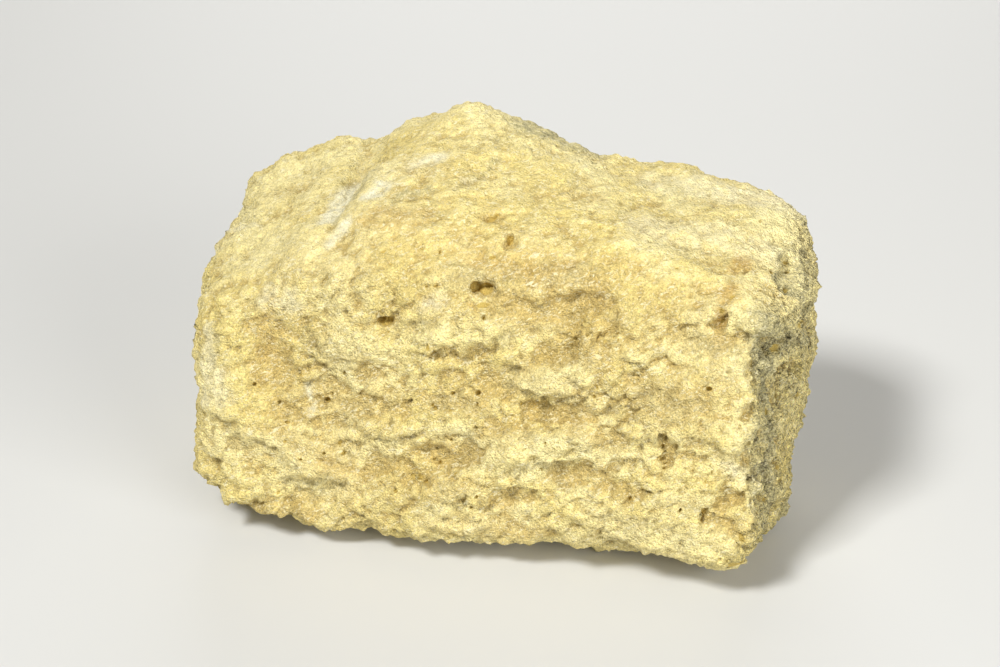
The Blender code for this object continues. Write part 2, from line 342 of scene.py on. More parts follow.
def relief_tree():
    """Breaks a surface into ledges and crumbs, square to the surface."""
    tree = bpy.data.node_groups.new("Broken relief", "GeometryNodeTree")
    for name, kind, direction in (("Block", "Geometry", "INPUT"), ("Ledge rise", "Float", "INPUT"),
                                  ("Crumb rise", "Float", "INPUT"), ("Seed", "Float", "INPUT"),
                                  ("Finish", "Material", "INPUT"), ("Rock", "Geometry", "OUTPUT")):
        tree.interface.new_socket(name, in_out=direction, socket_type="NodeSocket" + kind)
    kit = NodeKit(tree)
    given = tree.nodes.new("NodeGroupInput").outputs
    place = kit.add("GeometryNodeInputPosition").outputs[0]
    seeded = kit.vector("ADD", place, kit.scaled(SEED_STEP, given["Seed"]))
    bent = kit.swayed(seeded, seeded, SWAY_SIZE, SWAY_REACH, 3.0)
    turned = kit.slanted(bent, LEDGE_SLANT)
    ridges = ridge_layer(kit, turned)
    ledges = scale_layer(kit, turned, LEDGES_LAYER)
    crumbs = scale_layer(kit, bent, CRUMBS_LAYER)
    specks = scale_layer(kit, seeded, SPECKS_LAYER)
    swells = kit.noise(kit.vector("MULTIPLY", turned, SWELL_SQUEEZE), SWELL_SIZE, 5.0, SWELL_ROUGH)
    patchy = kit.noise(seeded, PATCHY_SIZE, 1.0)
    height = kit.add("ShaderNodeSeparateXYZ", Vector=place).outputs[2]
    strength = kit.times(kit.span(height, *CALM_HEIGHTS), kit.span(patchy, *PATCHY_STRENGTH))
    large = kit.plus(kit.times(ledges, LEDGES_SHARE), ridges)
    large = kit.plus(large, kit.times(kit.math("SUBTRACT", swells, 0.5), SWELL_RISE))
    ledge_height = kit.times(kit.times(large, strength), given["Ledge rise"])
    small = kit.plus(kit.times(crumbs, strength), kit.times(specks, SPECKS_SHARE))
    coarse = kit.add("GeometryNodeInputNamedAttribute", Name="coarse").outputs["Attribute"]
    coarser = kit.times(kit.span(coarse, *CALM_CRUMBS), kit.span(coarse, *COARSE_CRUMBS))
    crumb_height = kit.times(kit.times(small, coarser), given["Crumb rise"])
    normal = kit.add("GeometryNodeInputNormal").outputs[0]
    moved = kit.add("GeometryNodeSetPosition", Geometry=given["Block"],
                    Offset=kit.scaled(normal, kit.plus(ledge_height, crumb_height)))
    whole = kit.add("GeometryNodeRealizeInstances", Geometry=moved.outputs[0])
    painted = kit.add("GeometryNodeSetMaterial", Geometry=whole.outputs[0], Material=given["Finish"])
    output = tree.nodes.new("NodeGroupOutput")
    tree.links.new(painted.outputs[0], output.inputs[0])
    return tree


def break_surface(block, settings, finish):
    """Runs the broken relief over the block."""
    tree = relief_tree()
    maker = block.modifiers.new("broken relief", "NODES")
    maker.node_group = tree
    values = {"Ledge rise": settings.ledge_rise, "Crumb rise": settings.crumb_rise,
              "Seed": float(settings.seed), "Finish": finish}
    for item in tree.interface.items_tree:
        if item.in_out == "INPUT" and item.name in values:
            maker[item.identifier] = values[item.name]
    settle_modifiers(block)
    set_points(block.data, points_of(block.data))


# ---------------------------------------------------------------- places seen from the front

# A place on the seen sides is given by where it lies in the stage's view, across and down in
# thousandths of the view's width, and is carried onto the rock from there.
VIEW_WIDE, VIEW_TALL = 1000, 667
SENSOR = 36.0
OUTLINE_SLACK = 16             # how far, in steps, a place is carried in to meet the rock
VIEW_MIDDLE = Vector((0.8, -1.33, 20.5)) * MM
UP = Vector((0, 0, 1))

# How far a face leans towards the view or towards the right end, and how high it lies.
TURNED_AWAY, TURNED_TO_VIEW, TURNED_TO_END = -0.05, 0.1, 0.6
CLEAR_OF_REST = 2 * MM


class View:
    """The stage's view of the block, used to carry seen places onto the rock."""

    def __init__(self, stage):
        turn, rise = stage.azimuth, stage.elevation
        self.back = Vector((math.sin(turn) * math.cos(rise), -math.cos(turn) * math.cos(rise),
                            math.sin(rise)))
        self.right = Vector((math.cos(turn), math.sin(turn), 0.0))
        self.up = self.back.cross(self.right)
        self.lens = stage.lens
        self.place = VIEW_MIDDLE + self.back * stage.view_width * stage.lens / SENSOR

    def onto(self, surface, across, down):
        """The point and the normal of the surface at this place in the view.

        A place just outside the outline is carried in towards the view's middle.
        """
        per_unit = SENSOR / VIEW_WIDE
        middle = Vector((VIEW_WIDE / 2, VIEW_TALL / 2))
        seen = Vector((across, down))
        for step in range(OUTLINE_SLACK):
            ray = (self.right * (seen.x - middle.x) * per_unit
                   + self.up * (middle.y - seen.y) * per_unit - self.back * self.lens)
            point, normal, face, far = surface.ray_cast(self.place, ray.normalized())
            if point is not None:
                return point, normal
            seen += (middle - seen).normalized()
        raise ValueError(f"nothing is seen near {across}, {down}")


def surface_of(mesh):
    """A searchable copy of the mesh's surface."""
    return BVHTree.FromPolygons([v.co for v in mesh.vertices], [p.vertices for p in mesh.polygons])


def hidden_faces(mesh, view):
    """The faces that the view does not show, clear of the rest plane."""
    return [face for face in mesh.polygons
            if face.normal.dot(view.back) < TURNED_AWAY and face.center.z > CLEAR_OF_REST]


def end_faces(mesh, view):
    """The faces of the right end that the view shows."""
    return [face for face in mesh.polygons if face.normal.x > TURNED_TO_END
            and face.normal.dot(view.back) > TURNED_TO_VIEW and face.center.z > CLEAR_OF_REST]


def eased(share):
    """0 to 1, with soft ends."""
    held = np.clip(share, 0.0, 1.0)
    return held * held * (3.0 - 2.0 * held)


# A ledge or a groove: its two ends as seen, how far it fades out above and below in mm, and its
# rise in mm.  A groove has a negative rise.
Ledge = namedtuple("Ledge", "across down to_across to_down above below rise")

LEDGES = [Ledge(*row) for row in (
    # the lens-shaped scale in the middle and the dark bay under it
    (530, 388, 582, 392, 3.0, 1.2, 0.85), (516, 384, 580, 370, 1.8, 2.0, 0.40),
    (510, 394, 532, 406, 0.9, 1.8, -0.50), (534, 409, 564, 414, 0.9, 1.7, -0.60),
    (566, 414, 594, 410, 0.9, 1.7, -0.50), (556, 399, 600, 398, 1.5, 1.2, 0.65),
    (500, 397, 614, 407, 1.6, 1.6, 0.25), (534, 356, 570, 350, 1.2, 1.4, -0.34),
    (572, 352, 596, 368, 1.2, 1.4, -0.30), (606, 332, 592, 356, 2.0, 2.0, -0.50),
    (596, 380, 602, 398, 1.4, 1.6, -0.34), (512, 374, 566, 348, 1.4, 1.8, -0.60),
    (486, 384, 506, 390, 1.4, 1.6, -0.50), (426, 452, 448, 460, 1.4, 1.6, -0.40),
    (566, 344, 612, 326, 1.6, 1.8, -0.55), (500, 360, 558, 330, 2.4, 1.4, 0.40),
    # shadowed brows above the middle
    (528, 291, 612, 290, 3.7, 1.7, 0.56), (506, 306, 576, 308, 1.6, 2.4, -0.80),
    (580, 298, 606, 300, 1.2, 2.0, -0.40), (422, 346, 482, 340, 3.0, 1.2, 0.40),
    (440, 356, 482, 350, 1.2, 2.2, -0.30), (436, 400, 474, 402, 1.6, 1.8, -0.45),
    (300, 452, 322, 460, 1.4, 1.6, -0.40), (686, 322, 726, 330, 3.0, 1.6, 0.46),
    (688, 340, 726, 344, 1.2, 2.2, -0.40),
    # the bay right of the middle
    (625, 395, 707, 420, 2.2, 2.2, 0.45), (632, 388, 690, 386, 2.0, 3.4, 0.16),
    (630, 430, 650, 424, 2.4, 2.4, 0.30),
    # the hollow on the left and the strip that stands beside it
    (246, 312, 262, 376, 1.6, 1.7, -0.44), (228, 300, 236, 410, 2.2, 2.3, 0.28),
    (272, 332, 285, 410, 2.4, 2.4, -0.60), (300, 330, 330, 360, 1.8, 2.2, -0.35),
    (300, 378, 312, 412, 1.2, 1.3, -0.40),
    # arches left of the middle
    (346, 396, 370, 390, 2.2, 1.2, 0.40), (348, 402, 374, 398, 0.9, 1.7, -0.40),
    (316, 414, 372, 402, 2.2, 1.2, 0.36), (318, 420, 392, 414, 1.0, 2.3, -0.44),
    (372, 408, 402, 402, 1.2, 2.3, -0.36),
    # the broad scale below the middle
    (465, 461, 505, 427, 2.1, 1.3, -0.48), (492, 450, 580, 456, 3.6, 2.4, 0.24),
    (490, 496, 540, 484, 1.8, 1.8, 0.75), (520, 474, 556, 458, 1.5, 1.5, 0.60),
    (556, 460, 600, 458, 1.4, 1.4, 0.30), (598, 462, 624, 458, 1.4, 1.4, 0.45),
    (566, 478, 600, 470, 1.2, 1.8, -0.30), (524, 477, 552, 476, 1.4, 1.6, 0.40),
    (512, 438, 540, 446, 1.2, 1.7, -0.36), (580, 432, 612, 442, 1.3, 2.0, -0.45),
    (602, 482, 632, 496, 1.3, 2.0, -0.44), (574, 504, 594, 506, 1.0, 1.7, -0.36),
    (500, 494, 532, 492, 1.0, 1.9, -0.40), (616, 468, 636, 470, 1.6, 2.0, -0.32),
    (634, 508, 692, 522, 3.7, 2.8, 0.48),
    # the shadowed bay left of the broad scale
    (412, 436, 462, 440, 1.8, 2.6, -0.40), (440, 458, 492, 456, 1.8, 2.6, -0.36),
    (352, 432, 404, 428, 2.6, 1.4, 0.36), (346, 442, 404, 440, 1.0, 2.2, -0.36),
    # slanting ridges low on the left of the middle
    (364, 474, 384, 466, 1.0, 1.2, -0.40), (372, 480, 402, 470, 1.3, 1.4, 0.36),
    (398, 484, 428, 476, 1.0, 1.4, -0.40), (424, 496, 474, 478, 1.8, 1.7, 0.44),
    (410, 508, 456, 494, 1.0, 1.7, -0.36), (326, 464, 350, 460, 0.9, 1.2, -0.34),
    # ledges near the left end
    (216, 414, 234, 416, 1.8, 0.9, 0.32), (216, 422, 234, 421, 0.8, 1.4, -0.48),
    (236, 432, 268, 443, 2.1, 1.0, 0.40), (238, 442, 268, 452, 0.8, 2.0, -0.40),
    (290, 500, 330, 506, 1.6, 2.3, -0.32),
    # the corner on the lower right
    (757, 474, 728, 506, 1.2, 1.4, -0.80), (722, 518, 740, 514, 1.8, 2.2, 0.50),
    (700, 510, 720, 502, 1.8, 1.8, 0.50), (716, 488, 736, 470, 1.6, 1.6, 0.45),
    (750, 498, 746, 530, 1.6, 2.0, 0.60), (736, 540, 752, 545, 1.0, 1.3, -0.65),
    (759, 500, 756, 540, 0.9, 1.0, -0.60), (776, 526, 764, 552, 2.0, 2.2, -0.60),
    (762, 556, 748, 562, 1.6, 2.0, -0.60),
    # the jagged edge between the front and the right end
    (750, 336, 751, 352, 1.2, 1.2, 0.45), (750, 364, 751, 374, 1.0, 1.0, -0.50),
    (748, 384, 750, 400, 1.2, 1.2, 0.40), (748, 410, 749, 420, 1.0, 1.0, -0.50),
    (748, 430, 750, 446, 1.2, 1.2, 0.40), (750, 456, 752, 462, 1.0, 1.0, -0.50),
    (762, 356, 758, 384, 1.0, 1.0, -0.50), (768, 372, 766, 410, 1.0, 1.0, 0.50),
    (760, 404, 762, 440, 1.0, 1.0, -0.50), (770, 428, 768, 462, 1.0, 1.0, 0.50),
    (764, 452, 762, 486, 1.0, 1.0, -0.50), (778, 440, 776, 480, 1.2, 1.2, -0.45),
    (792, 350, 788, 400, 1.4, 1.4, 0.50), (800, 330, 802, 376, 1.2, 1.2, -0.45),
    # the brow that overhangs the right end
    (768, 328, 802, 298, 2.4, 1.4, 0.60), (762, 344, 804, 308, 1.4, 2.6, -1.25),
    # steps in the upper left
    (222, 228, 236, 222, 1.0, 1.2, -0.36), (300, 150, 306, 170, 1.0, 1.2, -0.40),
    (372, 142, 350, 190, 1.6, 1.4, -0.44), (350, 190, 330, 226, 1.2, 1.3, -0.32),
    (392, 204, 470, 182, 1.2, 1.3, -0.24), (470, 182, 500, 160, 1.2, 1.3, -0.24),
)]

LEDGE_WARP = (2.6 * MM, 0.9 * MM)      # over what length the ledges wander, and how far
LEDGE_DEPTH = 7 * MM                   # how far into the rock a ledge still tells
LEDGE_FACING = 3.0                     # how soon a ledge ends where the rock turns away
STEEP = 0.8                            # an end-to-end line this steep counts as upright

# What the strewn ledges are drawn from: their slant in degrees, their length in mm, their rise in mm,
# and how far they fade out above and below in mm.
STREWN_SLANT, STREWN_LENGTH, STREWN_RISE = (10, 40), (3, 9), (0.3, 0.75)
STREWN_ABOVE, STREWN_BELOW = (1.2, 3.4), (1.0, 2.2)
LEVEL_AT_LEAST = 0.3                   # below this, a face lies too flat to give a level direction


WARP_SEED = 7                # without it, the noise is drawn from the clock and no two runs agree


def warped(places, size, reach):
    """The places moved about by soft noise, so that what is measured from them has no straight edge."""
    noise.seed_set(WARP_SEED)
    moves = np.array([noise.noise_vector(place) for place in places / size])
    return places + moves * reach


def seen_ledges(mesh, view, ledges):
    """Each ledge with its two ends on the surface and the direction out of the rock."""
    surface = surface_of(mesh)
    placed = []
    for ledge in ledges:
        start, start_normal = view.onto(surface, ledge.across, ledge.down)
        end, end_normal = view.onto(surface, ledge.to_across, ledge.to_down)
        placed.append((ledge, start, end, (start_normal + end_normal).normalized()))
    return placed


def hidden_ledges(mesh, view, count, seed):
    """Slanting ledges and grooves strewn over the sides that the view does not show."""
    dice = random.Random(seed)
    surface = surface_of(mesh)
    placed = []
    for face in dice.choices(hidden_faces(mesh, view), k=count):
        outward = Vector(face.normal)
        level = UP.cross(outward)
        if level.length < LEVEL_AT_LEAST:
            level = Vector((1, 0, 0))
        slant = math.radians(dice.uniform(*STREWN_SLANT))
        along = (level.normalized() * math.cos(slant) + UP * math.sin(slant)).normalized()
        start = Vector(face.center)
        end = surface.find_nearest(start + along * dice.uniform(*STREWN_LENGTH) * MM)[0]
        rise = dice.choice((-1, 1)) * dice.uniform(*STREWN_RISE)
        ledge = Ledge(0, 0, 0, 0, dice.uniform(*STREWN_ABOVE), dice.uniform(*STREWN_BELOW), rise)
        placed.append((ledge, start, end, outward))
    return placed


def carve_ledges(mesh, placed):
    """Raises and lowers the surface along the ledges and grooves."""
    places = points_of(mesh)
    normals = normals_of(mesh)
    bent = warped(places, *LEDGE_WARP)
    rise = np.zeros(len(places))
    for ledge, start, end, outward in placed:
        along = end - start
        length = along.length
        along.normalize()
        upward = outward.cross(along)
        if upward.dot(UP) < 0 or (abs(along.z) > STEEP and upward.x > 0):
            upward = -upward
        upward.normalize()
        offset = bent - np.array(start)
        run = offset @ np.array(along)
        side = offset @ np.array(upward)
        depth = np.abs(offset @ np.array(outward))
        past_end = np.maximum(np.maximum(-run, run - length), 0.0)
        reach = np.where(side > 0, ledge.above, ledge.below) * MM
        fade = np.hypot(side / reach, past_end / (max(ledge.above, ledge.below) * MM))
        facing = eased(LEDGE_FACING * (normals @ np.array(outward)))
        rise += ledge.rise * MM * eased(1.0 - fade) * facing * (depth < LEDGE_DEPTH)
    set_points(mesh, places + normals * rise[:, None])


# ---------------------------------------------------------------- pores

# A pore: where it is seen, its width, its height and its depth in mm, and its turn in degrees.
Pore = namedtuple("Pore", "across down wide tall deep turn")

SEEN_PORES = [Pore(*row) for row in (
    (476, 287, 1.20, 1.20, 1.7, 0), (486, 289, 1.50, 1.40, 0.8, 0), (483, 305, 1.50, 0.70, 0.25, 5),
    (386, 321, 1.60, 1.00, 1.0, 5), (381, 320, 0.90, 0.60, 1.1, 20),
    (491, 218, 1.20, 0.80, 1.3, 20), (497, 214, 0.50, 0.45, 0.8, 0),
    (510, 239, 0.80, 1.15, 1.1, -15), (482, 197, 0.35, 0.28, 0.4, 0),
    (492, 257, 0.80, 0.50, 0.5, 10), (484, 318, 0.45, 0.32, 0.7, 30),
    (388, 332, 0.30, 0.28, 0.5, 0), (383, 251, 0.60, 0.28, 0.5, 20), (421, 248, 0.32, 0.28, 0.5, 0),
    (440, 252, 0.32, 0.45, 0.7, 0), (445, 256, 0.45, 0.25, 0.5, 0), (426, 287, 0.40, 0.32, 0.6, 0),
    (435, 286, 0.45, 0.28, 0.5, 20), (393, 294, 0.32, 0.30, 0.5, 0),
    (390, 264, 0.45, 0.28, 0.5, -30), (354, 189, 0.32, 0.28, 0.5, 0),
    (231, 288, 0.42, 0.32, 0.6, 20), (533, 273, 0.45, 0.32, 0.5, 0), (600, 225, 0.32, 0.42, 0.6, 0),
    (614, 229, 0.28, 0.28, 0.4, 0), (677, 268, 0.38, 0.34, 0.7, 0), (761, 221, 0.42, 0.38, 0.7, 0),
    (735, 270, 0.70, 0.45, 0.7, 10), (741, 266, 0.42, 0.70, 0.6, -15),
    (736, 262, 0.30, 0.30, 0.5, 0), (732, 296, 0.75, 0.50, 0.5, 30),
    (721, 311, 0.60, 0.80, 0.6, -30), (722, 322, 0.40, 0.70, 0.6, -10),
    (576, 339, 0.32, 0.30, 0.7, 0), (587, 335, 0.32, 0.32, 0.7, 0), (617, 333, 0.42, 0.30, 0.7, 20),
    (584, 321, 0.34, 0.30, 0.5, 0), (709, 390, 0.75, 0.55, 1.0, -35),
    (660, 436, 0.75, 0.40, 1.1, 35), (666, 438, 0.36, 0.95, 1.1, -15),
    (663, 447, 0.40, 0.62, 1.0, 10), (664, 453, 0.55, 0.26, 0.8, 20),
    (662, 459, 0.62, 0.26, 0.8, 20), (665, 463, 0.50, 0.24, 0.7, 20),
    (664, 467, 0.40, 0.22, 0.7, 20), (704, 513, 0.60, 1.45, 1.0, -12),
    (703, 519, 0.50, 0.70, 1.2, 0), (680, 511, 0.34, 0.52, 1.0, -25),
    (711, 465, 0.30, 0.32, 0.5, 0), (712, 473, 0.32, 0.45, 0.5, 0), (706, 483, 0.38, 0.38, 0.5, 0),
    (629, 499, 0.55, 0.40, 0.8, 20), (327, 400, 0.85, 0.62, 1.1, 10),
    (432, 353, 0.75, 0.60, 1.0, 20), (427, 350, 0.40, 0.36, 0.7, 0), (291, 347, 0.30, 0.26, 0.6, 0),
    (255, 384, 0.38, 0.45, 0.8, 0), (259, 387, 0.34, 0.34, 0.5, 0),
    (279, 403, 0.38, 0.45, 0.7, -20), (287, 422, 0.65, 0.34, 0.7, 0),
    (278, 493, 0.50, 0.40, 0.6, 20), (300, 375, 0.42, 0.32, 0.5, 0), (324, 454, 0.34, 0.34, 0.7, 0),
    (300, 460, 0.42, 0.34, 0.7, 0), (284, 442, 0.55, 0.34, 0.5, 30), (344, 374, 0.34, 0.42, 0.5, 0),
    (332, 393, 0.40, 0.28, 0.5, 0), (478, 393, 0.55, 0.60, 1.0, 0), (452, 394, 0.38, 0.48, 0.8, 0),
    (442, 398, 0.34, 0.34, 0.6, 0), (477, 404, 0.28, 0.44, 0.8, 0),
    (435, 408, 0.60, 0.42, 0.8, -30), (432, 405, 0.34, 0.34, 0.6, 0),
    (450, 410, 0.42, 0.30, 0.5, 0), (522, 404, 0.42, 0.34, 0.6, 0), (594, 397, 0.42, 0.42, 0.7, 0),
    (597, 388, 0.34, 0.48, 0.5, 30), (475, 428, 0.45, 0.38, 0.7, 0), (451, 441, 0.38, 0.38, 0.7, 0),
    (437, 449, 0.38, 0.34, 0.7, 0), (435, 459, 0.44, 0.32, 0.7, 20), (440, 462, 0.42, 0.38, 0.7, 0),
    (449, 452, 0.30, 0.28, 0.5, 0), (455, 472, 0.42, 0.36, 0.6, 0),
    (426, 481, 0.36, 0.60, 0.7, -30), (395, 491, 0.42, 0.38, 0.8, 0),
    (409, 489, 0.45, 0.34, 0.5, 0), (476, 498, 0.38, 0.44, 0.7, 0), (471, 509, 0.50, 0.44, 0.8, 0),
    (542, 470, 0.40, 0.36, 0.6, 0), (525, 449, 0.30, 0.28, 0.5, 0), (545, 443, 0.30, 0.28, 0.5, 0),
    (658, 398, 0.32, 0.32, 0.5, 0), (777, 394, 0.75, 1.10, 1.3, -15),
    (770, 412, 0.60, 1.00, 1.0, 10), (785, 416, 0.70, 0.70, 0.9, 0), (786, 400, 0.45, 0.45, 0.6, 0),
    (772, 271, 0.60, 0.60, 0.9, 0), (785, 290, 0.60, 1.10, 1.1, -10),
    (787, 272, 0.50, 0.90, 0.8, 0), (786, 262, 0.55, 0.50, 0.5, 0), (780, 468, 0.50, 0.60, 0.6, 0),
    (764, 500, 0.60, 0.50, 0.6, 0), (742, 541, 0.70, 0.80, 0.9, 20),
)]

PORE_MARGIN = 0.25 * MM      # how far past its rim a pore's fine cells reach
PORE_DEPTH = 0.66            # share of its depth that a pore is sunk
FINE_DEPTH = 0.7             # pores this deep, in mm, and deeper get the finest cells
FINE_CUTS = 3
PORE_RIM = (1.22, 0.40)      # where a pore's wall begins, in shares of its half width, and how wide it is
PORE_REACH = 2.0 * MM        # how far behind and before its middle a pore still sinks the rock
PORE_WARP = (0.5 * MM, 0.09 * MM)
PORE_NEAR = 1.0 * MM         # how much of the rock round a pore says which way it faces

# The smallest strewn pore and how much wider the widest is, in mm, and what their width and depth are
# drawn from, in shares of their height.
HIDDEN_PORE, END_PIT = (0.35, 1.1), (0.28, 0.6)
STREWN_WIDE, STREWN_DEEP = (0.8, 1.4), (0.8, 1.3)
MOSTLY_SMALL = 4             # the higher, the fewer wide pores


def pore_frames(mesh, view, pores):
    """Each pore with its middle and its three directions: across, up and out of the rock."""
    surface = surface_of(mesh)
    frames = []
    for pore in pores:
        middle, outward = view.onto(surface, pore.across, pore.down)
        around = [normal for place, normal, face, far in surface.find_nearest_range(middle, PORE_NEAR)]
        outward = sum(around, Vector()).normalized()
        level = view.right - outward * view.right.dot(outward)
        level.normalize()
        upright = outward.cross(level)
        turn = math.radians(pore.turn)
        across = level * math.cos(turn) + upright * math.sin(turn)
        frames.append((pore, middle, across, outward.cross(across), outward))
    return frames


def strewn_pores(faces, count, seed, smallest, spread):
    """Pores of mixed sizes, in mm, strewn over these faces."""
    dice = random.Random(seed)
    frames = []
    for face in dice.choices(faces, k=count):
        size = smallest + spread * dice.random() ** MOSTLY_SMALL
        pore = Pore(0, 0, size * dice.uniform(*STREWN_WIDE), size, size * dice.uniform(*STREWN_DEEP), 0)
        outward = Vector(face.normal)
        level = outward.cross(Vector((dice.uniform(-1, 1), dice.uniform(-1, 1), dice.uniform(-1, 1))))
        level.normalize()
        frames.append((pore, Vector(face.center), level, outward.cross(level), outward))
    return frames


def refine_pores(mesh, frames, cuts):
    """Cuts the surface round each pore into fine cells."""
    solid = bmesh.new()
    solid.from_mesh(mesh)
    centres = np.array([face.calc_center_median() for face in solid.faces])
    near = np.zeros(len(centres), bool)
    for pore, middle, across, upright, outward in frames:
        offset = centres - np.array(middle)
        reach = max(pore.wide, pore.tall) * MM / 2 + PORE_MARGIN
        near |= (offset ** 2).sum(1) < reach ** 2
    solid.faces.ensure_lookup_table()
    chosen = [solid.faces[number] for number in np.nonzero(near)[0]]
    edges = list({edge: None for face in chosen for edge in face.edges})
    bmesh.ops.subdivide_edges(solid, edges=edges, cuts=cuts, use_grid_fill=True)
    solid.to_mesh(mesh)
    solid.free()
    mesh.update()


def open_pores(mesh, frames):
    """Sinks the pores and marks their insides for the finish."""
    places = points_of(mesh)
    bent = warped(places, *PORE_WARP)
    rim, wall = PORE_RIM
    inside = np.zeros(len(places))
    moved = places.copy()
    for pore, middle, across, upright, outward in frames:
        offset = bent - np.array(middle)
        wide, tall = pore.wide * MM / 2, pore.tall * MM / 2
        depth = offset @ np.array(outward)
        off_middle = np.hypot(offset @ np.array(across) / wide, offset @ np.array(upright) / tall)
        sunk = eased((rim - off_middle) / wall) * (np.abs(depth) < PORE_REACH)
        moved -= np.outer(sunk * pore.deep * PORE_DEPTH * MM, np.array(outward))
        inside = np.maximum(inside, sunk)
    set_points(mesh, moved)
    store_share(mesh, "pore", inside)


def store_share(mesh, name, shares):
    """Keeps a share from 0 to 1 for each point under this name, for the finish."""
    layer = mesh.attributes.new(name, "FLOAT", "POINT")
    layer.data.foreach_set("value", shares.astype(np.float32))


# ---------------------------------------------------------------- coloured patches

# A patch of colour, for other minerals and stains, for painted shade and for painted highlight: its two
# ends as seen, its half width in mm and its strength.
Patch = namedtuple("Patch", "across down to_across to_down wide strength")

